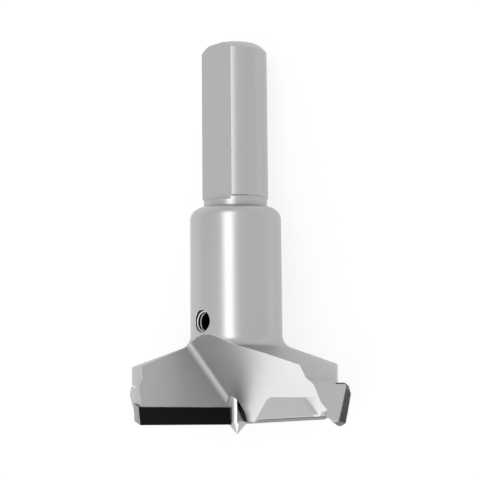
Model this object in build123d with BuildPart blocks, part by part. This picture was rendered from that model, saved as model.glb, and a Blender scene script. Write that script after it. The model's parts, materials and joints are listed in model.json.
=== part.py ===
import os
from math import cos, radians, sin, tan

from build123d import *

os.makedirs("parts", exist_ok=True)

# A left-hand hinge boring bit for 35 mm cups. It is modelled upright, with the
# tool's axis along Z and the main cutting edges at z = 0, and laid down at the
# end. Azimuths are in degrees round the axis, and sizes are in millimetres.

# Shank and neck
overall_length = 57.5
shank_diameter = 10
shank_length = 25
shank_end_chamfer = 1
shank_end_crown = 0.05
undercut_depth = 0.2
undercut_width = 1.1
undercut_runout = 0.4
flat_depth = 1.3
flat_start = 0.9
neck_diameter = 13.8
neck_round = 1.8
neck_foot_fillet = 2

# Head blank, as it is turned
bore_diameter = 35
drum_clearance = 1.7
drum_top = 8.6
rim_clearance = 0.9
rim_top = 5.9
rim_slope_height = 0.9
cone_angle = 20
blank_depth = 1
profile_azimuth = 45

# Main cutters: plates brazed along the foot of the two rake faces
cutter_azimuth = 36
cutter_clearance = 0.4
cutter_start = 1.2
cutter_lead = 0.46
cutter_height = 2.6
cutter_thickness = 2
cutter_side_relief = 8
hook_angle = 14
edge_rise = 1.2
land_relief_angle = 13
plate_proud = 0.1

# Chip gullets: the rake face of one wing meets the heel wall of the other
heel_azimuth = 48.8
heel_overhang = 30.7
heel_offset = 0.9
gullet_root_radius = 1

# Relief pockets under the wings, behind the cutters
pocket_ceiling = 4.05
pocket_land = 2.7
pocket_land_height = 0.6
pocket_ramp_angle = 37
pocket_root_radius = 3
wall_bevel_front = 1.5
wall_bevel_back = 3.6
wall_foot_front = 2.55
wall_foot_back = 0.7
wall_front = 13.5
wall_back = 7.5

# Spurs: plates brazed to the teeth of the rim, which score the wall of the hole
spur_azimuth = -26
spur_lean = 25
spur_thickness = 1.6
spur_width = 2.5
spur_seat_wall = 0.78
spur_top = 5.6
spur_corner_inset = 0.65
spur_corner_angle = 64
spur_tip_depth = 0.3
spur_tip_inset = 1.2
spur_tip_round = 0.8
spur_outer_slope = 32
spur_inner_slope = 38
spur_clearance = 18
spur_side_relief = 7
side_relief_start = 7
side_relief_radius = 16
tooth_length = 7
tooth_room_inside = 2.6
tooth_room_length = 8
spur_gullet_azimuth = -6
spur_gullet_depth = 3.9
drum_flat_depth = 2.56

# Centre point, and the screw that clamps it
point_diameter = 3
point_length = 24
point_angle = 80
point_reach = 1.46
point_flat_inset = 0.54
point_flat_azimuth = -40
point_flat_length = 7
point_end_chamfer = 0.2
point_clearance = 0.01
screw_height = 15.25
clamp_azimuth = -138.2
thread_diameter = 4
screw_length = 4
screw_clearance = 0.02
screw_end_chamfer = 0.3
socket_across_flats = 2
socket_depth = 2
hole_chamfer = 0.35

# Lying on a bench: turned about its axis, and leaning onto the shank's end
lying_azimuth = 80.45
lying_lean = 7.68

# Worked out from the sizes above
shank_radius = shank_diameter / 2
neck_radius = neck_diameter / 2
spur_radius = bore_diameter / 2
cutter_radius = spur_radius - cutter_clearance
rim_radius = spur_radius - rim_clearance
drum_radius = spur_radius - drum_clearance
spur_inner_radius = spur_radius - spur_width
pocket_wall = spur_inner_radius * cos(radians(spur_azimuth)) - spur_seat_wall
spur_tip_radius = spur_radius - spur_tip_inset
point_radius = point_diameter / 2
point_bore_radius = point_radius + point_clearance
thread_radius = thread_diameter / 2
shank_foot = overall_length - shank_length
undercut_radius = shank_radius - undercut_depth
undercut_end = shank_foot + undercut_width
neck_foot = drum_top + (drum_radius - neck_radius) * tan(radians(cone_angle))
point_top = point_length - point_reach

# More room than any milling cut needs
reach = overall_length / 2


def direction(azimuth, rise=0):
    """A unit vector at an azimuth round the tool's axis, tilted up by rise."""
    level = cos(radians(rise))
    return Vector(
        level * cos(radians(azimuth)),
        level * sin(radians(azimuth)),
        sin(radians(rise)),
    )


def space_beyond(face):
    """The space on the outer side of a face, as a face mill would clear it."""
    with BuildPart() as space:
        with BuildSketch(face):
            Rectangle(4 * reach, 4 * reach)
        extrude(amount=2 * reach)
    return space.part


def relief_cylinder(radius, azimuth, relief):
    """A round that meets a cutting edge at radius and falls away behind it."""
    centre = radius * direction(azimuth) - side_relief_radius * direction(azimuth - relief)
    with BuildPart() as cylinder:
        with BuildSketch(Plane.XY.offset(-reach)):
            with Locations((centre.X, centre.Y)):
                Circle(side_relief_radius)
        extrude(amount=2 * reach)
    return cylinder.part


# Main cutters. Plane rake_face holds the cutting edge of the first wing, with
# its x outwards along the wing and its y down. Plane edge_frame lies in it and
# follows the edge itself, which rises a little outwards.
rake_face = Plane(
    origin=cutter_lead * direction(cutter_azimuth + 90),
    x_dir=direction(cutter_azimuth),
    z_dir=direction(cutter_azimuth + 90, hook_angle),
)
edge_frame = Plane(
    origin=rake_face.origin,
    x_dir=rake_face.x_dir.rotate(Axis((0, 0, 0), rake_face.z_dir), -edge_rise),
    z_dir=rake_face.z_dir,
)
land_slope = direction(cutter_azimuth - 90, land_relief_angle)
underside = Plane(
    origin=edge_frame.origin,
    x_dir=edge_frame.x_dir,
    z_dir=edge_frame.x_dir.cross(land_slope),
)
cutter_depth = (cutter_thickness + plate_proud) / cos(radians(hook_angle + land_relief_angle))

with BuildPart() as cutter_blank:
    with BuildSketch(edge_frame.offset(plate_proud)):
        with Locations((cutter_start, 0)):
            Rectangle(spur_radius, cutter_height, align=(Align.MIN, Align.MAX))
    extrude(amount=cutter_depth, dir=land_slope)

with BuildPart() as main_cutter_1:
    add(cutter_blank.part)
    add(relief_cylinder(cutter_radius, cutter_azimuth, cutter_side_relief), mode=Mode.INTERSECT)
    Cylinder(point_bore_radius, reach, mode=Mode.SUBTRACT)

with BuildPart() as main_cutter_2:
    add(main_cutter_1.part.rotate(Axis.Z, 180))

# Spurs. Plane spur_face is the rake face of the first spur, with its x outwards
# and its y down. The tooth falls away behind it along spur_back.
spur_face = Plane(
    origin=(0, 0, 0),
    x_dir=direction(spur_azimuth),
    z_dir=direction(spur_azimuth + 90, -spur_lean),
)
spur_back = direction(spur_azimuth - 90, spur_clearance)
spur_depth = spur_thickness / cos(radians(spur_lean - spur_clearance))
relief_azimuth = spur_azimuth + side_relief_start

# Where the outline's lines end, outwards of the tooth and at its inner side
down_face = 1 / cos(radians(spur_lean))
outer_end = spur_radius + spur_tip_inset
corner_start = spur_radius - spur_corner_inset
corner_foot = spur_top - (outer_end - corner_start) * tan(radians(spur_corner_angle))
outer_foot = (outer_end - spur_tip_radius) * tan(radians(spur_outer_slope)) - spur_tip_depth
inner_foot = (spur_tip_radius - spur_inner_radius) * tan(radians(spur_inner_slope)) - spur_tip_depth
spur_tip = spur_face.from_local_coords(Vector(spur_tip_radius, spur_tip_depth * down_face, 0))

with BuildSketch(spur_face) as spur_outline:
    with BuildLine():
        Polyline(
            (spur_inner_radius, -spur_top * down_face),
            (corner_start, -spur_top * down_face),
            (outer_end, -corner_foot * down_face),
            (outer_end, -outer_foot * down_face),
            (spur_tip_radius, spur_tip_depth * down_face),
            (spur_inner_radius, -inner_foot * down_face),
            close=True,
        )
    make_face()
    fillet(spur_outline.vertices().sort_by(Axis.Y)[-1], spur_tip_round)

with BuildPart() as spur_blank:
    extrude(spur_outline.sketch, amount=spur_depth, dir=spur_back)

with BuildPart() as spur_cutter_1:
    add(spur_blank.part)
    add(relief_cylinder(spur_radius, relief_azimuth, spur_side_relief), mode=Mode.INTERSECT)

with BuildPart() as spur_cutter_2:
    add(spur_cutter_1.part.rotate(Axis.Z, 180))

# The tooth that backs the first spur stands out from the rim
with BuildPart() as tooth:
    extrude(spur_outline.sketch, amount=tooth_length, dir=spur_back)
    tooth_round = relief_cylinder(spur_radius - plate_proud, relief_azimuth, spur_side_relief)
    add(tooth_round, mode=Mode.INTERSECT)
    split(bisect_by=Plane.XY.offset(rim_top), keep=Keep.BOTTOM)

# Chip gullet in front of the first wing, with a rounded root
heel_wall = Plane(
    origin=heel_offset * direction(heel_azimuth + 180, heel_overhang),
    z_dir=direction(heel_azimuth, -heel_overhang),
)

with BuildPart() as chip_gullet:
    add(space_beyond(rake_face))
    add(space_beyond(heel_wall), mode=Mode.INTERSECT)
    root = chip_gullet.edges().filter_by(GeomType.LINE).sort_by_distance((0, 0, 0))[0]
    fillet(root, gullet_root_radius)

# Relief pocket under the first wing: a ramp behind the cutter up to a level
# ceiling, and an outer wall whose bevel widens towards the cutter
ramp_run = (pocket_ceiling - pocket_land_height) / tan(radians(pocket_ramp_angle))
ramp_top = (pocket_land + ramp_run) * direction(cutter_azimuth - 90) + Vector(0, 0, pocket_ceiling)
pocket_ramp = Plane(
    origin=ramp_top,
    x_dir=direction(cutter_azimuth),
    z_dir=direction(cutter_azimuth).cross(direction(cutter_azimuth - 90, pocket_ramp_angle)),
)

with BuildPart() as relief_pocket:
    for section, bevel, wall_foot in (
        (Plane.XZ.offset(wall_front), wall_bevel_front, wall_foot_front),
        (Plane.XZ.offset(-wall_back), wall_bevel_back, wall_foot_back),
    ):
        with BuildSketch(section):
            with BuildLine():
                Polyline(
                    (-reach, -reach),
                    (pocket_wall, -reach),
                    (pocket_wall, wall_foot),
                    (pocket_wall - bevel, pocket_ceiling),
                    (-reach, pocket_ceiling),
                    close=True,
                )
            make_face()
    loft(ruled=True)
    add(space_beyond(pocket_ramp), mode=Mode.INTERSECT)
    fillet(relief_pocket.edges().sort_by_distance(ramp_top)[0], pocket_root_radius)

# The underside of the land behind the cutter, ahead of the spur
with BuildPart() as land_relief:
    add(space_beyond(underside.offset(-plate_proud)))
    add(space_beyond(spur_face), mode=Mode.INTERSECT)

# The underside of the tooth behind the spur: it rises away from the tip
# backwards, inwards and outwards
tooth_start = spur_tip + Vector(0, 0, plate_proud)
inward = direction(spur_azimuth + 180, spur_inner_slope)
outward = direction(spur_azimuth, spur_outer_slope)
behind_spur = Plane(origin=spur_face.origin, x_dir=spur_face.x_dir, z_dir=-spur_face.z_dir)

with BuildPart() as tooth_room:
    with BuildSketch(behind_spur):
        with Locations((spur_inner_radius - tooth_room_inside, 0)):
            Rectangle(reach, reach, align=(Align.MIN, Align.CENTER))
    extrude(amount=tooth_room_length)
    split(bisect_by=Plane.XY.offset(pocket_ceiling), keep=Keep.BOTTOM)

with BuildPart() as tooth_relief:
    add(space_beyond(Plane(origin=tooth_start, z_dir=spur_back.cross(inward))))
    add(space_beyond(Plane(origin=tooth_start, z_dir=outward.cross(spur_back))))
    add(tooth_room.part, mode=Mode.INTERSECT)
    fillet(tooth_relief.edges().sort_by_distance(tooth_start)[0], spur_tip_round)

# Gullet in front of the spur. Above the rim it stops at the drum, on which the
# same cutter leaves a flat.
across_gullet = direction(spur_gullet_azimuth)
gullet_floor = (spur_radius - spur_gullet_depth) * across_gullet
flat_floor = (spur_radius - drum_flat_depth) * across_gullet

with BuildPart() as spur_gullet:
    add(space_beyond(Plane(origin=gullet_floor, z_dir=across_gullet)))
    add(space_beyond(spur_face), mode=Mode.INTERSECT)
    split(bisect_by=Plane.XY.offset(rim_top + rim_slope_height), keep=Keep.BOTTOM)
    with BuildSketch(Plane.XY.offset(rim_top)):
        Circle(drum_radius)
    extrude(amount=rim_slope_height, mode=Mode.SUBTRACT)

with BuildPart() as drum_flat:
    add(space_beyond(Plane(origin=flat_floor, z_dir=across_gullet)))
    split(bisect_by=Plane.XY.offset(rim_top), keep=Keep.TOP)

# Plane screw_face stands across the cross hole's axis, at the tool's own axis,
# and plane drive_flat is the flat on the same side of the shank
screw_face = Plane(origin=(0, 0, screw_height), x_dir=(0, 0, 1), z_dir=direction(clamp_azimuth))
drive_flat = Plane(
    origin=(shank_radius - flat_depth) * direction(clamp_azimuth),
    x_dir=(0, 0, 1),
    z_dir=direction(clamp_azimuth),
)

# Body: the turned blank, milled on two sides alike. Its profile is drawn at an
# azimuth that a chip gullet clears, and its shank's end is broken with a crown.
profile_plane = Plane(
    origin=(0, 0, 0),
    x_dir=direction(profile_azimuth),
    z_dir=direction(profile_azimuth - 90),
)
break_foot = (shank_radius, overall_length - shank_end_chamfer)
break_top = (shank_radius - shank_end_chamfer, overall_length)
crown_inset = shank_end_chamfer / 2 - shank_end_crown
break_crown = (shank_radius - crown_inset, overall_length - crown_inset)

with BuildPart() as body:
    with BuildSketch(profile_plane):
        with BuildLine():
            Polyline(
                break_top,
                (0, overall_length),
                (0, -blank_depth),
                (rim_radius, -blank_depth),
                (rim_radius, rim_top),
                (drum_radius, rim_top + rim_slope_height),
                (drum_radius, drum_top),
                (neck_radius, neck_foot),
                (neck_radius, shank_foot),
                (undercut_radius, shank_foot),
                (undercut_radius, undercut_end),
            )
            runout_end = (shank_radius, undercut_end + undercut_runout)
            TangentArc((undercut_radius, undercut_end), runout_end, tangent=(0, 1))
            Line(runout_end, break_foot)
            ThreePointArc(break_foot, break_crown, break_top)
        make_face()
    revolve(axis=Axis.Z)
    rings = body.edges().filter_by(GeomType.CIRCLE)
    fillet(rings.filter_by_position(Axis.Z, neck_foot, neck_foot), neck_foot_fillet)
    rings = body.edges().filter_by(GeomType.CIRCLE)
    shoulder = rings.filter_by_position(Axis.Z, shank_foot, shank_foot)
    fillet(shoulder.sort_by(SortBy.RADIUS)[-1], neck_round)

    # Drive flat along the shank
    with BuildSketch(drive_flat):
        with Locations((shank_foot + flat_start, 0)):
            Rectangle(shank_length, shank_diameter, align=(Align.MIN, Align.CENTER))
    extrude(amount=flat_depth, mode=Mode.SUBTRACT)

    # Bore for the centre point
    with BuildSketch(Plane.XY.offset(-blank_depth)):
        Circle(point_bore_radius)
    extrude(amount=point_top + blank_depth, mode=Mode.SUBTRACT)

    # Cross hole for the screw, with a countersunk mouth
    with BuildSketch(screw_face):
        Circle(thread_radius)
    extrude(amount=neck_radius, mode=Mode.SUBTRACT)
    with BuildSketch(screw_face.offset(neck_radius - hole_chamfer)):
        Circle(thread_radius)
    extrude(amount=hole_chamfer, taper=-45, mode=Mode.SUBTRACT)

    # The teeth, and the milling and grinding of the two wings
    for turn in (0, 180):
        add(tooth.part.rotate(Axis.Z, turn))
        add(chip_gullet.part.rotate(Axis.Z, turn), mode=Mode.SUBTRACT)
        add(relief_pocket.part.rotate(Axis.Z, turn), mode=Mode.SUBTRACT)
        add(land_relief.part.rotate(Axis.Z, turn), mode=Mode.SUBTRACT)
        add(tooth_relief.part.rotate(Axis.Z, turn), mode=Mode.SUBTRACT)
        add(spur_gullet.part.rotate(Axis.Z, turn), mode=Mode.SUBTRACT)
        add(drum_flat.part.rotate(Axis.Z, turn), mode=Mode.SUBTRACT)
        add(cutter_blank.part.rotate(Axis.Z, turn), mode=Mode.SUBTRACT)
        add(spur_blank.part.rotate(Axis.Z, turn), mode=Mode.SUBTRACT)

# Centre point: a ground pin with a conical tip and two flats on its nose
cone_foot = point_radius / tan(radians(point_angle / 2)) - point_reach
with BuildPart() as centre_point:
    with BuildSketch(Plane.XZ):
        with BuildLine():
            Polyline(
                (0, -point_reach),
                (point_radius, cone_foot),
                (point_radius, point_top - point_end_chamfer),
                (point_radius - point_end_chamfer, point_top),
                (0, point_top),
                close=True,
            )
        make_face()
    revolve(axis=Axis.Z)
    for turn in (0, 180):
        nose_side = direction(point_flat_azimuth + turn)
        nose_flat = Plane(
            origin=(point_radius - point_flat_inset) * nose_side,
            x_dir=(0, 0, 1),
            z_dir=nose_side,
        )
        with BuildSketch(nose_flat):
            with Locations((-point_reach, 0)):
                Rectangle(point_flat_length, point_diameter, align=(Align.MIN, Align.CENTER))
        extrude(amount=point_radius, mode=Mode.SUBTRACT)

# Point screw: a socket grub screw whose flat end bears on the centre point
with BuildPart() as point_screw:
    with BuildSketch(screw_face.offset(point_radius)):
        Circle(thread_radius - screw_clearance)
    extrude(amount=screw_length)
    chamfer(point_screw.edges().filter_by(GeomType.CIRCLE), screw_end_chamfer)
    with BuildSketch(screw_face.offset(point_radius + screw_length)):
        RegularPolygon(socket_across_flats / 2, 6, major_radius=False)
    extrude(amount=-socket_depth, mode=Mode.SUBTRACT)

# Laid on its side: it rests on a wing's corner, a heel and the shank's end
lying = Rot(X=-90 - lying_lean) * Rot(Z=90 - lying_azimuth)
cutters = (main_cutter_1, main_cutter_2, spur_cutter_1, spur_cutter_2)
pieces = (body, *cutters, centre_point, point_screw)
lying_box = Compound([lying * piece.part for piece in pieces]).bounding_box()
middle = lying_box.center()
laid = Pos(-middle.X, -middle.Y, -lying_box.min.Z) * lying
for piece in pieces:
    piece.part.move(laid)

body.part.label = "body"
export_step(body.part, "parts/body.step")
main_cutter_1.part.label = "main_cutter_1"
export_step(main_cutter_1.part, "parts/main_cutter_1.step")
main_cutter_2.part.label = "main_cutter_2"
export_step(main_cutter_2.part, "parts/main_cutter_2.step")
spur_cutter_1.part.label = "spur_cutter_1"
export_step(spur_cutter_1.part, "parts/spur_cutter_1.step")
spur_cutter_2.part.label = "spur_cutter_2"
export_step(spur_cutter_2.part, "parts/spur_cutter_2.step")
centre_point.part.label = "centre_point"
export_step(centre_point.part, "parts/centre_point.step")
point_screw.part.label = "point_screw"
export_step(point_screw.part, "parts/point_screw.step")
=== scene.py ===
import json
from math import cos, pi, radians, sin

import bpy
from mathutils import Matrix, Vector


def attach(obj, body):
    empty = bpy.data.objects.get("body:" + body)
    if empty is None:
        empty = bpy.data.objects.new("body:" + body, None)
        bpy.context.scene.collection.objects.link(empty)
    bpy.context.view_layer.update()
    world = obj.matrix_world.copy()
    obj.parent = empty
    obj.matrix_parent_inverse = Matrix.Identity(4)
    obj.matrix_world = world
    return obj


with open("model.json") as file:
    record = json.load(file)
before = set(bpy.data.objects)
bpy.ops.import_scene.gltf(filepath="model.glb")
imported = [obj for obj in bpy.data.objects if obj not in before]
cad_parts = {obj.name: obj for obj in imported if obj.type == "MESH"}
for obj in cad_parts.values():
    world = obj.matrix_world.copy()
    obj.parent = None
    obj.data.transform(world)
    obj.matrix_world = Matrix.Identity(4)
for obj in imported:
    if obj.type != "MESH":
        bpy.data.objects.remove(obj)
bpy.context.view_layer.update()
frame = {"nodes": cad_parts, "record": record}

# Body: one piece of alloy steel, turned all over, with its shank and neck
# ground. The wings are then milled out of the head, and its edges are broken
# lightly and painted paler, partly wear and partly a painted highlight.

# The bit lies on its side, and its sizes are read along its own axis: z runs up
# the shank from the cutting end, and the drive flat says how it is turned.
overall_length = 0.0575
flat_azimuth = radians(-138.2)
mounts = {mount["name"]: mount for mount in frame["record"]["mounts"]}
along = Vector(mounts["shank"]["axis"]).normalized()
flat_normal = Vector(mounts["drive_flat"]["axis"]).normalized()
beside_flat = along.cross(flat_normal)
across_x = cos(flat_azimuth) * flat_normal - sin(flat_azimuth) * beside_flat
across_y = sin(flat_azimuth) * flat_normal + cos(flat_azimuth) * beside_flat
cutting_end = Vector(mounts["shank_end"]["pos_m"]) - overall_length * along
turned = Matrix((across_x, across_y, along)).transposed()
tool = Matrix.Translation(cutting_end) @ turned.to_4x4()

# Noise seldom leaves this range
noise_range = (0.3, 0.7)
millimetres_per_metre = 1000


def plain_finish(name, colour, metallic=1.0):
    """A finish of one colour: its material, its tree and its shader."""
    material = bpy.data.materials.new(name)
    material.use_nodes = True
    tree = material.node_tree
    tree.nodes.clear()
    output = tree.nodes.new("ShaderNodeOutputMaterial")
    shader = tree.nodes.new("ShaderNodeBsdfPrincipled")
    shader.inputs["Base Color"].default_value = (*colour, 1)
    shader.inputs["Metallic"].default_value = metallic
    tree.links.new(shader.outputs["BSDF"], output.inputs["Surface"])
    return material, tree, shader


def along_the_tool(tree, output, vector_type="POINT"):
    """A place in millimetres, or a direction, of the surface in the tool's own frame."""
    surface = tree.nodes.new("ShaderNodeTexCoord")
    turn = tree.nodes.new("ShaderNodeMapping")
    turn.vector_type = vector_type
    turn.inputs["Rotation"].default_value = turned.transposed().to_euler("XYZ")
    if vector_type == "POINT":
        start = turned.transposed() @ cutting_end
        turn.inputs["Scale"].default_value = (millimetres_per_metre,) * 3
        turn.inputs["Location"].default_value = -millimetres_per_metre * start
    tree.links.new(surface.outputs[output], turn.inputs["Vector"])
    return turn.outputs["Vector"]


def grain(tree, stretch, detail=3.0):
    """Fine noise, drawn out along the directions in which stretch is small."""
    pull = tree.nodes.new("ShaderNodeVectorMath")
    pull.operation = "MULTIPLY"
    pull.inputs[1].default_value = stretch
    noise = tree.nodes.new("ShaderNodeTexNoise")
    noise.inputs["Scale"].default_value = 1.0
    noise.inputs["Detail"].default_value = detail
    tree.links.new(along_the_tool(tree, "Object"), pull.inputs[0])
    tree.links.new(pull.outputs["Vector"], noise.inputs["Vector"])
    return noise.outputs["Fac"]


def spread(tree, value, low, high, to_low, to_high):
    """value carried from one range to another, and held inside it."""
    step = tree.nodes.new("ShaderNodeMapRange")
    step.inputs["From Min"].default_value = low
    step.inputs["From Max"].default_value = high
    step.inputs["To Min"].default_value = to_low
    step.inputs["To Max"].default_value = to_high
    tree.links.new(value, step.inputs["Value"])
    return step.outputs["Result"]


def combine(tree, operation, first, second=0.0):
    """Arithmetic on values of a tree, either of which may be a number."""
    sum_node = tree.nodes.new("ShaderNodeMath")
    sum_node.operation = operation
    for socket, value in zip(sum_node.inputs, (first, second)):
        if isinstance(value, (int, float)):
            socket.default_value = value
        else:
            tree.links.new(value, socket)
    return sum_node.outputs["Value"]


def two_tone(tree, shader, factor, dark, light):
    """The shader's colour, mixed from two greys."""
    mix = tree.nodes.new("ShaderNodeMix")
    mix.data_type = "RGBA"
    mix.inputs["A"].default_value = (*dark, 1)
    mix.inputs["B"].default_value = (*light, 1)
    tree.links.new(factor, mix.inputs["Factor"])
    tree.links.new(mix.outputs["Result"], shader.inputs["Base Color"])


def broken_edges(tree, radius):
    """A normal that rounds the edges a little, and how far it turns at each of them."""
    level_cosine = 0.995
    edge_cosine = 0.86
    rounded = tree.nodes.new("ShaderNodeBevel")
    rounded.samples = 6
    rounded.inputs["Radius"].default_value = radius
    sharp = tree.nodes.new("ShaderNodeNewGeometry")
    turn = tree.nodes.new("ShaderNodeVectorMath")
    turn.operation = "DOT_PRODUCT"
    tree.links.new(rounded.outputs["Normal"], turn.inputs[0])
    tree.links.new(sharp.outputs["Normal"], turn.inputs[1])
    wear_and_highlight = spread(tree, turn.outputs["Value"], level_cosine, edge_cosine, 0.0, 1.0)
    return rounded.outputs["Normal"], wear_and_highlight


def finish_with(node_name, material):
    """A CAD piece gets its finish."""
    piece = frame["nodes"][node_name]
    piece.data.materials.clear()
    piece.data.materials.append(material)


steel, steel_tree, steel_shader = plain_finish("satin ground steel", (0.42, 0.42, 0.425))
# The edges are painted paler where the rounded normal turns: partly wear, partly a painted
# highlight.
edge_normal, edge_wear_and_highlight = broken_edges(steel_tree, radius=0.00012)
place_on_body = steel_tree.nodes.new("ShaderNodeSeparateXYZ")
steel_tree.links.new(along_the_tool(steel_tree, "Object"), place_on_body.inputs["Vector"])

# The grinding runs round the tool. The milled head, below the neck, is rougher.
milled_top = 11.0
ground_foot = 13.0
milled_roughness = 0.13
grinding = grain(steel_tree, (0.25, 0.25, 9.0))
handling = grain(steel_tree, (0.16, 0.16, 0.1), 2.0)
milled_below = spread(
    steel_tree, place_on_body.outputs["Z"], milled_top, ground_foot, milled_roughness, 0.0
)
ground_roughness = combine(
    steel_tree,
    "ADD",
    spread(steel_tree, grinding, *noise_range, 0.27, 0.31),
    spread(steel_tree, handling, *noise_range, -0.015, 0.02),
)
steel_tree.links.new(
    combine(steel_tree, "ADD", ground_roughness, milled_below), steel_shader.inputs["Roughness"]
)

# The end of each relief pocket, and the land beside it, are painted paler: a
# painted highlight. A broken edge counts as 1 on the same scale.
full_painted_highlight = 2.6
steel_grey = 0.42
highlight_and_wear_grey = 0.76
pocket_end = Vector((-0.69, -0.07, -0.72)).normalized()
bright_part = edge_wear_and_highlight
for way_round in (1, -1):
    facing = steel_tree.nodes.new("ShaderNodeVectorMath")
    facing.operation = "DOT_PRODUCT"
    facing.inputs[1].default_value = (
        way_round * pocket_end.x,
        way_round * pocket_end.y,
        pocket_end.z,
    )
    steel_tree.links.new(along_the_tool(steel_tree, "Normal", "VECTOR"), facing.inputs[0])
    pocket_end_highlight = spread(steel_tree, facing.outputs["Value"], 0.985, 0.995, 0.0, 1.0)
    bright_part = combine(
        steel_tree,
        "MAXIMUM",
        bright_part,
        combine(steel_tree, "MULTIPLY", pocket_end_highlight, full_painted_highlight),
    )
# Where the land beside a pocket faces down, it gets the same painted highlight.
land_inner_edge = (11.6, 11.75)
land_outer_edge = (12.75, 12.85)
facing_down = steel_tree.nodes.new("ShaderNodeSeparateXYZ")
steel_tree.links.new(along_the_tool(steel_tree, "Normal", "VECTOR"), facing_down.inputs["Vector"])
off_axis = combine(steel_tree, "ABSOLUTE", place_on_body.outputs["X"])
across_the_land = combine(
    steel_tree,
    "MULTIPLY",
    spread(steel_tree, off_axis, *land_inner_edge, 0.0, full_painted_highlight),
    spread(steel_tree, off_axis, *land_outer_edge, 1.0, 0.0),
)
painted_land_highlight = combine(
    steel_tree,
    "MULTIPLY",
    across_the_land,
    spread(steel_tree, facing_down.outputs["Z"], -0.85, -0.95, 0.0, 1.0),
)
bright_part = combine(steel_tree, "MAXIMUM", bright_part, painted_land_highlight)

# Inner corners are darkened by an occlusion node: painted shade.
corner_reach = 0.0012
corner_shade = steel_tree.nodes.new("ShaderNodeAmbientOcclusion")
corner_shade.samples = 8
corner_shade.inputs["Distance"].default_value = corner_reach
painted_corner_shade = spread(steel_tree, corner_shade.outputs["AO"], 0.45, 0.95, 0.70, 1.0)
steel_colour = combine(
    steel_tree,
    "MULTIPLY",
    painted_corner_shade,
    spread(steel_tree, bright_part, 0.0, full_painted_highlight, steel_grey, highlight_and_wear_grey),
)
steel_tree.links.new(steel_colour, steel_shader.inputs["Base Color"])
grinding_marks = steel_tree.nodes.new("ShaderNodeBump")
grinding_marks.inputs["Strength"].default_value = 0.008
grinding_marks.inputs["Distance"].default_value = 0.00002
steel_tree.links.new(grinding, grinding_marks.inputs["Height"])
steel_tree.links.new(edge_normal, grinding_marks.inputs["Normal"])
steel_tree.links.new(grinding_marks.outputs["Normal"], steel_shader.inputs["Normal"])
finish_with("body", steel)

# Cross-hole thread: the lip and the last turns of the tapped hole in the side of
# the neck, cut in the steel. A ring lines the hole from the top of the screw to
# the mouth, and the right-handed ridges of the thread stand on its wall.
hole_height = 0.01525
neck_radius = 0.0069
mouth_radius = 0.00162
mouth_chamfer = 0.00009
countersink_half_length = 0.00233
countersink_half_width = 0.0021
gullet_edge_below = 0.00215
gullet_edge_slope = 0.16
lip_proud = 0.000004
skirt_sunk = 0.00003
skirt_width = 0.00004
skirt_wider_beside = 0.00025
lining_foot = 0.00552
lining_wall_top = 0.0063
lining_outer_radius = 0.00202
lining_steps = 72
outer_wall_row = 0
neck_rows = range(2, 6)
bore_wall_row = 7
foot_row = 8
clamp_way = Vector((cos(flat_azimuth), sin(flat_azimuth), 0))
hole_across = Vector((0, 0, 1))
hole_beside = clamp_way.cross(hole_across)
hole_turn = Matrix((hole_across, hole_beside, clamp_way)).transposed().to_4x4()
hole_place = tool @ Matrix.Translation(Vector((0, 0, hole_height))) @ hole_turn


def lining_round(angle):
    """The ring's section at an angle. Each corner has its radius, and either how
    proud of the neck it stands or its height over the tool's axis."""
    width_share = sin(angle) ** 2
    narrowing = countersink_half_width - countersink_half_length
    cover = countersink_half_length + width_share * narrowing
    skirt = skirt_width + width_share * skirt_wider_beside
    towards_gullet = -cos(angle) - gullet_edge_slope * sin(angle)
    if towards_gullet > 0:
        cover = min(cover, gullet_edge_below / towards_gullet - skirt)
    mouth = mouth_radius + mouth_chamfer
    return (
        (lining_outer_radius, None, lining_foot),
        (lining_outer_radius, None, lining_wall_top),
        (cover + skirt, -skirt_sunk, None),
        (cover, lip_proud, None),
        ((2 * cover + mouth) / 3, lip_proud, None),
        ((cover + 2 * mouth) / 3, lip_proud, None),
        (mouth, lip_proud, None),
        (mouth_radius, -mouth_chamfer, None),
        (mouth_radius, None, lining_foot),
    )


def lining_ring():
    """A closed ring round the hole, whose top follows the round of the neck."""
    steps = range(lining_steps)
    rounds = [lining_round(2 * pi * step / lining_steps) for step in steps]
    rows = len(rounds[0])
    corners = []
    normals = []
    for row in range(rows):
        for step in steps:
            angle = 2 * pi * step / lining_steps
            radius, proud, height = rounds[step][row]
            up = radius * cos(angle)
            side = radius * sin(angle)
            rise = height
            if height is None:
                rise = (neck_radius**2 - side**2) ** 0.5 + proud
            corners.append((up, side, rise))
            normals.append(Vector((0, side, rise)).normalized())
    faces = []
    for row in range(rows):
        following = (row + 1) % rows
        for step in steps:
            beyond = (step + 1) % lining_steps
            faces.append(
                (
                    row * lining_steps + step,
                    row * lining_steps + beyond,
                    following * lining_steps + beyond,
                    following * lining_steps + step,
                )
            )
    mesh = bpy.data.meshes.new("cross_hole_lip")
    mesh.from_pydata(corners, [], faces)
    mesh.update()
    loop_normals = []
    for face in mesh.polygons:
        row = face.index // lining_steps
        flush = row in neck_rows
        wall = row in (outer_wall_row, bore_wall_row)
        face.use_smooth = flush or wall
        for corner in face.vertices:
            if flush:
                loop_normals.append(normals[corner])
            elif wall:
                out = Vector((corners[corner][0], corners[corner][1], 0)).normalized()
                loop_normals.append(out if row == outer_wall_row else -out)
            else:
                loop_normals.append(face.normal.copy())
    mesh.normals_split_custom_set(loop_normals)
    return mesh


# The thread's ridges are a paler steel than the body: painted light, so they read as lit deep in
# the hole.
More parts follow.
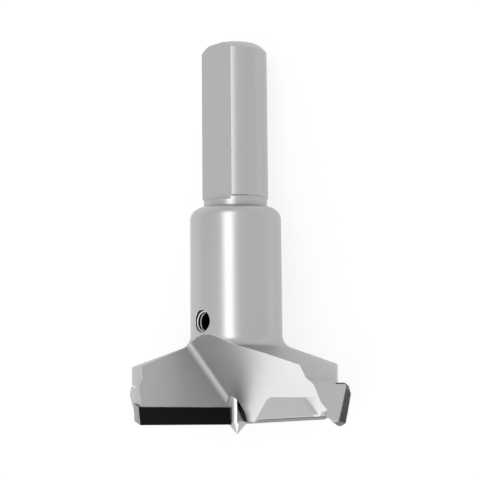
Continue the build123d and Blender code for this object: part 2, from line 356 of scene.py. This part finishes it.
fresh_steel_painted_light, fresh_tree, fresh_shader = plain_finish("freshly tapped steel painted light", (0.60, 0.60, 0.605))
fresh_tree.links.new(
    spread(fresh_tree, grain(fresh_tree, (5.0, 5.0, 5.0)), *noise_range, 0.40, 0.50),
    fresh_shader.inputs["Roughness"],
)
# The bore wall and foot inside the hole are painted near black: painted shade in the recess.
root_painted_shade, root_shade_tree, root_shade_shader = plain_finish("thread root painted shade", (0.04, 0.04, 0.041))
root_shade_tree.links.new(
    spread(root_shade_tree, grain(root_shade_tree, (5.0, 5.0, 5.0)), *noise_range, 0.35, 0.50),
    root_shade_shader.inputs["Roughness"],
)
lip_mesh = lining_ring()
lip_mesh.transform(hole_place)
lip_mesh.materials.append(steel)
lip_mesh.materials.append(root_painted_shade)
# Faces inside the hole take the painted shade; the rest of the ring is body steel.
for face in lip_mesh.polygons:
    inside_hole = face.index // lining_steps in (bore_wall_row, foot_row)
    face.material_index = 1 if inside_hole else 0
lip = bpy.data.objects.new("cross_hole_lip", lip_mesh)
bpy.context.scene.collection.objects.link(lip)
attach(lip, "root")

thread_start = 0.00529
thread_start_angle = pi
thread_sizes = {
    "Pitch": 0.0006,
    "Turns": 2.0,
    "Root radius": 0.00164,
    "Crest radius": 0.00136,
    "Base width": 0.00026,
    "Crest width": 0.0001,
}


def node_in(tree, kind, **settings):
    """A node of a tree, with some of its settings."""
    node = tree.nodes.new(kind)
    for setting, value in settings.items():
        setattr(node, setting, value)
    return node


def named_sizes(tree, sizes):
    """The named sizes that a tree of nodes asks for."""
    for size_name in sizes:
        tree.interface.new_socket(size_name, in_out="INPUT", socket_type="NodeSocketFloat")
    tree.interface.new_socket("Geometry", in_out="OUTPUT", socket_type="NodeSocketGeometry")
    return node_in(tree, "NodeGroupInput").outputs


def made_by(tree, name, sizes, placed):
    """The plain mesh that a tree makes from its sizes, put in place and ridden on the body."""
    maker = bpy.data.objects.new(name + " maker", bpy.data.meshes.new(name + " maker"))
    steps = maker.modifiers.new(name, "NODES")
    steps.node_group = tree
    for item in tree.interface.items_tree:
        if item.in_out == "INPUT":
            steps[item.identifier] = sizes[item.name]
    bpy.context.scene.collection.objects.link(maker)
    evaluated = maker.evaluated_get(bpy.context.evaluated_depsgraph_get())
    mesh = bpy.data.meshes.new_from_object(evaluated)
    mesh.name = name
    maker.modifiers.remove(steps)
    bpy.data.objects.remove(maker)
    mesh.transform(placed)
    piece = bpy.data.objects.new(name, mesh)
    bpy.context.scene.collection.objects.link(piece)
    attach(piece, "root")
    return piece


thread_tree = bpy.data.node_groups.new("thread ridges", "GeometryNodeTree")
size = named_sizes(thread_tree, thread_sizes)
ridge_height = combine(thread_tree, "SUBTRACT", size["Root radius"], size["Crest radius"])
helix_radius = combine(
    thread_tree,
    "SUBTRACT",
    size["Root radius"],
    combine(thread_tree, "MULTIPLY", ridge_height, 0.5),
)
helix = node_in(thread_tree, "GeometryNodeCurveSpiral")
helix.inputs["Resolution"].default_value = 48
helix.inputs["Reverse"].default_value = True
thread_tree.links.new(size["Turns"], helix.inputs["Rotations"])
thread_tree.links.new(helix_radius, helix.inputs["Start Radius"])
thread_tree.links.new(helix_radius, helix.inputs["End Radius"])
thread_tree.links.new(
    combine(thread_tree, "MULTIPLY", size["Pitch"], size["Turns"]), helix.inputs["Height"]
)
upright = node_in(thread_tree, "GeometryNodeSetCurveNormal", mode="Z_UP")
thread_tree.links.new(helix.outputs["Curve"], upright.inputs["Curve"])
ridge = node_in(thread_tree, "GeometryNodeCurvePrimitiveQuadrilateral", mode="TRAPEZOID")
ridge.inputs["Offset"].default_value = 0.0
thread_tree.links.new(size["Base width"], ridge.inputs["Bottom Width"])
thread_tree.links.new(size["Crest width"], ridge.inputs["Top Width"])
thread_tree.links.new(ridge_height, ridge.inputs["Height"])
pointing_in = node_in(thread_tree, "GeometryNodeTransform")
pointing_in.inputs["Rotation"].default_value = (0, 0, pi / 2)
thread_tree.links.new(ridge.outputs["Curve"], pointing_in.inputs["Geometry"])
swept = node_in(thread_tree, "GeometryNodeCurveToMesh")
swept.inputs["Fill Caps"].default_value = True
thread_tree.links.new(upright.outputs["Curve"], swept.inputs["Curve"])
thread_tree.links.new(pointing_in.outputs["Geometry"], swept.inputs["Profile Curve"])
whole_thread = node_in(thread_tree, "GeometryNodeRealizeInstances")
thread_tree.links.new(swept.outputs["Mesh"], whole_thread.inputs["Geometry"])
cut_in_steel = node_in(thread_tree, "GeometryNodeSetMaterial")
cut_in_steel.inputs["Material"].default_value = fresh_steel_painted_light
thread_tree.links.new(whole_thread.outputs["Geometry"], cut_in_steel.inputs["Geometry"])
thread_output = node_in(thread_tree, "NodeGroupOutput")
thread_tree.links.new(cut_in_steel.outputs["Geometry"], thread_output.inputs["Geometry"])

up_the_hole = Matrix.Translation((0, 0, thread_start))
thread_place = up_the_hole @ Matrix.Rotation(thread_start_angle, 4, "Z")
thread = made_by(thread_tree, "cross_hole_thread", thread_sizes, hole_place @ thread_place)

# Main cutters: two plates of tungsten carbide, brazed into seats at the foot of
# the rake faces. Their faces stay black from sintering, while the edges that
# are ground after brazing are bright.
rake_azimuth = radians(-54)


def sintered_carbide(name, ground, ground_colour, black_colour):
    """Carbide that is bright where it is ground, and black elsewhere."""
    material, tree, shader = plain_finish(name, ground_colour)
    specks = grain(tree, (6.0, 6.0, 6.0), 4.0)
    bright_part = ground(tree)
    two_tone(tree, shader, bright_part, black_colour, ground_colour)
    black_roughness = 0.46
    bright_roughness = 0.30
    speck_roughness = 0.03
    roughness = combine(
        tree,
        "ADD",
        spread(tree, bright_part, 0.0, 1.0, black_roughness, bright_roughness),
        spread(tree, specks, *noise_range, -speck_roughness, speck_roughness),
    )
    tree.links.new(roughness, shader.inputs["Roughness"])
    return material


def dull_below(tree, ground):
    """The ground part, made duller where it faces down past the cutting edge."""
    facing = node_in(tree, "ShaderNodeSeparateXYZ")
    tree.links.new(along_the_tool(tree, "Normal", "VECTOR"), facing.inputs["Vector"])
    dulling = spread(tree, facing.outputs["Z"], -0.9, -0.6, 0.5, 1.0)
    return combine(tree, "MULTIPLY", ground, dulling)


def away_from_the_rake(tree):
    """One where the surface isn't parallel to the rake face, and zero where it is."""
    facing = node_in(tree, "ShaderNodeVectorMath", operation="DOT_PRODUCT")
    facing.inputs[1].default_value = (cos(rake_azimuth), sin(rake_azimuth), 0)
    tree.links.new(along_the_tool(tree, "Normal", "VECTOR"), facing.inputs[0])
    across = combine(tree, "ABSOLUTE", facing.outputs["Value"])
    return dull_below(tree, spread(tree, across, 0.94, 0.86, 0.0, 1.0))


plate_carbide = sintered_carbide(
    "main cutter carbide",
    away_from_the_rake,
    ground_colour=(0.25, 0.25, 0.255),
    black_colour=(0.011, 0.011, 0.012),
)
finish_with("main_cutter_1", plate_carbide)
finish_with("main_cutter_2", plate_carbide)

# Spur cutters: two smaller plates of the same carbide, brazed to the front of
# the rim's teeth. Their rake faces are ground bright, and their flanks are dark.


def away_from_the_flank(tree):
    """One where the surface faces round the tool, and zero where it faces out from its axis."""
    level = node_in(tree, "ShaderNodeVectorMath", operation="MULTIPLY")
    level.inputs[1].default_value = (1, 1, 0)
    tree.links.new(along_the_tool(tree, "Object"), level.inputs[0])
    outwards = node_in(tree, "ShaderNodeVectorMath", operation="NORMALIZE")
    tree.links.new(level.outputs["Vector"], outwards.inputs[0])
    facing = node_in(tree, "ShaderNodeVectorMath", operation="DOT_PRODUCT")
    tree.links.new(along_the_tool(tree, "Normal", "VECTOR"), facing.inputs[0])
    tree.links.new(outwards.outputs["Vector"], facing.inputs[1])
    return dull_below(tree, spread(tree, facing.outputs["Value"], 0.8, 0.6, 0.0, 1.0))


spur_carbide = sintered_carbide(
    "spur cutter carbide",
    away_from_the_flank,
    ground_colour=(0.19, 0.19, 0.193),
    black_colour=(0.045, 0.045, 0.047),
)
finish_with("spur_cutter_1", spur_carbide)
finish_with("spur_cutter_2", spur_carbide)

# Centre point: a hardened pin, ground bright all over, with two flats on its
# nose. It plugs into the bore of the head and can be replaced.
bright, bright_tree, bright_shader = plain_finish("bright ground pin", (0.43, 0.43, 0.435))
pin_grinding = grain(bright_tree, (0.6, 0.6, 14.0))
bright_tree.links.new(
    spread(bright_tree, pin_grinding, *noise_range, 0.18, 0.26), bright_shader.inputs["Roughness"]
)
finish_with("centre_point", bright)

# Point screw: a socket grub screw of blackened steel, sunk in the side of the
# neck, that clamps the centre point.
blackened, blackened_tree, blackened_shader = plain_finish(
    "black oxide steel", (0.02, 0.02, 0.021)
)
oxide = grain(blackened_tree, (4.0, 4.0, 4.0), 4.0)
two_tone(blackened_tree, blackened_shader, oxide, (0.010, 0.010, 0.011), (0.035, 0.035, 0.036))
blackened_tree.links.new(
    spread(blackened_tree, oxide, *noise_range, 0.3, 0.42), blackened_shader.inputs["Roughness"]
)
finish_with("point_screw", blackened)

# Floor: a sheet of white paper under the bit. It is lit as paper is, but looks
# white to the camera, less the soft shadow, and pale to the metal above it.
floor_half = 0.9
white_to_the_camera = 0.8
pale_to_the_metal = 0.45
floor_mesh = bpy.data.meshes.new("floor")
floor_mesh.from_pydata(
    [
        (-floor_half, -floor_half, 0),
        (floor_half, -floor_half, 0),
        (floor_half, floor_half, 0),
        (-floor_half, floor_half, 0),
    ],
    [],
    [(0, 1, 2, 3)],
)
floor = bpy.data.objects.new("floor", floor_mesh)
bpy.context.scene.collection.objects.link(floor)
paper, paper_tree, paper_shader = plain_finish("white paper", (0.9, 0.9, 0.9), metallic=0.0)
paper_shader.inputs["Roughness"].default_value = 0.9
paper_shader.inputs["Specular IOR Level"].default_value = 0.0
paper_white = node_in(paper_tree, "ShaderNodeEmission")
paper_white.inputs["Color"].default_value = (1, 1, 1, 1)
paper_white.inputs["Strength"].default_value = 1.0
paper_ray = node_in(paper_tree, "ShaderNodeLightPath")
mirrored = combine(
    paper_tree,
    "MAXIMUM",
    paper_ray.outputs["Is Glossy Ray"],
    paper_ray.outputs["Is Transmission Ray"],
)
shown = combine(
    paper_tree,
    "MAXIMUM",
    combine(paper_tree, "MULTIPLY", paper_ray.outputs["Is Camera Ray"], white_to_the_camera),
    combine(paper_tree, "MULTIPLY", mirrored, pale_to_the_metal),
)
paper_mix = node_in(paper_tree, "ShaderNodeMixShader")
paper_tree.links.new(shown, paper_mix.inputs["Fac"])
paper_tree.links.new(paper_shader.outputs["BSDF"], paper_mix.inputs[1])
paper_tree.links.new(paper_white.outputs["Emission"], paper_mix.inputs[2])
paper_output = next(node for node in paper_tree.nodes if node.type == "OUTPUT_MATERIAL")
paper_tree.links.new(paper_mix.outputs["Shader"], paper_output.inputs["Surface"])
floor_mesh.materials.append(paper)

# Light: a pale grey room, and four soft boxes that look at the head. They are
# placed round the tool's own axis, at an azimuth in degrees and a rise up it.
room_grey = 1.0
head_middle = tool @ Vector((0, 0, 0.02))
world = bpy.data.worlds.new("studio")
world.use_nodes = True
room = world.node_tree.nodes["Background"]
room.inputs["Color"].default_value = (room_grey, room_grey, room_grey, 1)
room.inputs["Strength"].default_value = 1.0
bpy.context.scene.world = world


def soft_box(name, azimuth, rise, distance, wide, tall, radiance):
    """An area lamp that looks at the head."""
    lamp = bpy.data.lights.new(name, "AREA")
    lamp.shape = "RECTANGLE"
    lamp.size = wide
    lamp.size_y = tall
    lamp.energy = radiance * pi * wide * tall
    holder = bpy.data.objects.new(name, lamp)
    bpy.context.scene.collection.objects.link(holder)
    level = cos(radians(rise))
    direction = Vector(
        (level * cos(radians(azimuth)), level * sin(radians(azimuth)), sin(radians(rise)))
    )
    backwards = (turned @ direction).normalized()
    sideways = along.cross(backwards).normalized()
    upwards = backwards.cross(sideways)
    basis = Matrix((sideways, upwards, backwards)).transposed().to_4x4()
    holder.matrix_world = Matrix.Translation(head_middle + distance * backwards) @ basis


soft_box(
    "strip by the camera", azimuth=-108, rise=6, distance=0.5, wide=0.21, tall=0.6, radiance=1.95
)
soft_box("low left", azimuth=-168, rise=-34, distance=0.4, wide=0.30, tall=0.26, radiance=2.3)
soft_box(
    "before the point", azimuth=-147, rise=-84, distance=0.4, wide=0.50, tall=0.12, radiance=1.6
)
soft_box("low right", azimuth=-8, rise=-48, distance=0.4, wide=0.25, tall=0.14, radiance=1.4)

# Camera: the photograph looks at the tool from the side, with a long lens that
# stands level with the head and is turned up a little towards the shank.
pitch = 0.1145
roll = 0.0088
eye = tool @ Vector((0.000654, -0.190, 0.00586))
frame_pixels = 480
focal_pixels = 1262
sensor_width = 36
forward = turned @ Vector((0, cos(pitch), sin(pitch)))
upward = turned @ Vector((0, -sin(pitch), cos(pitch)))
rightward = turned @ Vector((1, 0, 0))
image_right = cos(roll) * rightward - sin(roll) * upward
image_up = sin(roll) * rightward + cos(roll) * upward
lens = bpy.data.cameras.new("camera")
lens.sensor_width = sensor_width
lens.lens = sensor_width * focal_pixels / frame_pixels
lens.clip_start = 0.01
lens.clip_end = 10
camera = bpy.data.objects.new("camera", lens)
bpy.context.scene.collection.objects.link(camera)
facing_the_tool = Matrix((image_right, image_up, -forward)).transposed().to_4x4()
camera.matrix_world = Matrix.Translation(eye) @ facing_the_tool
bpy.context.scene.camera = camera
bpy.context.scene.view_settings.view_transform = "Standard"
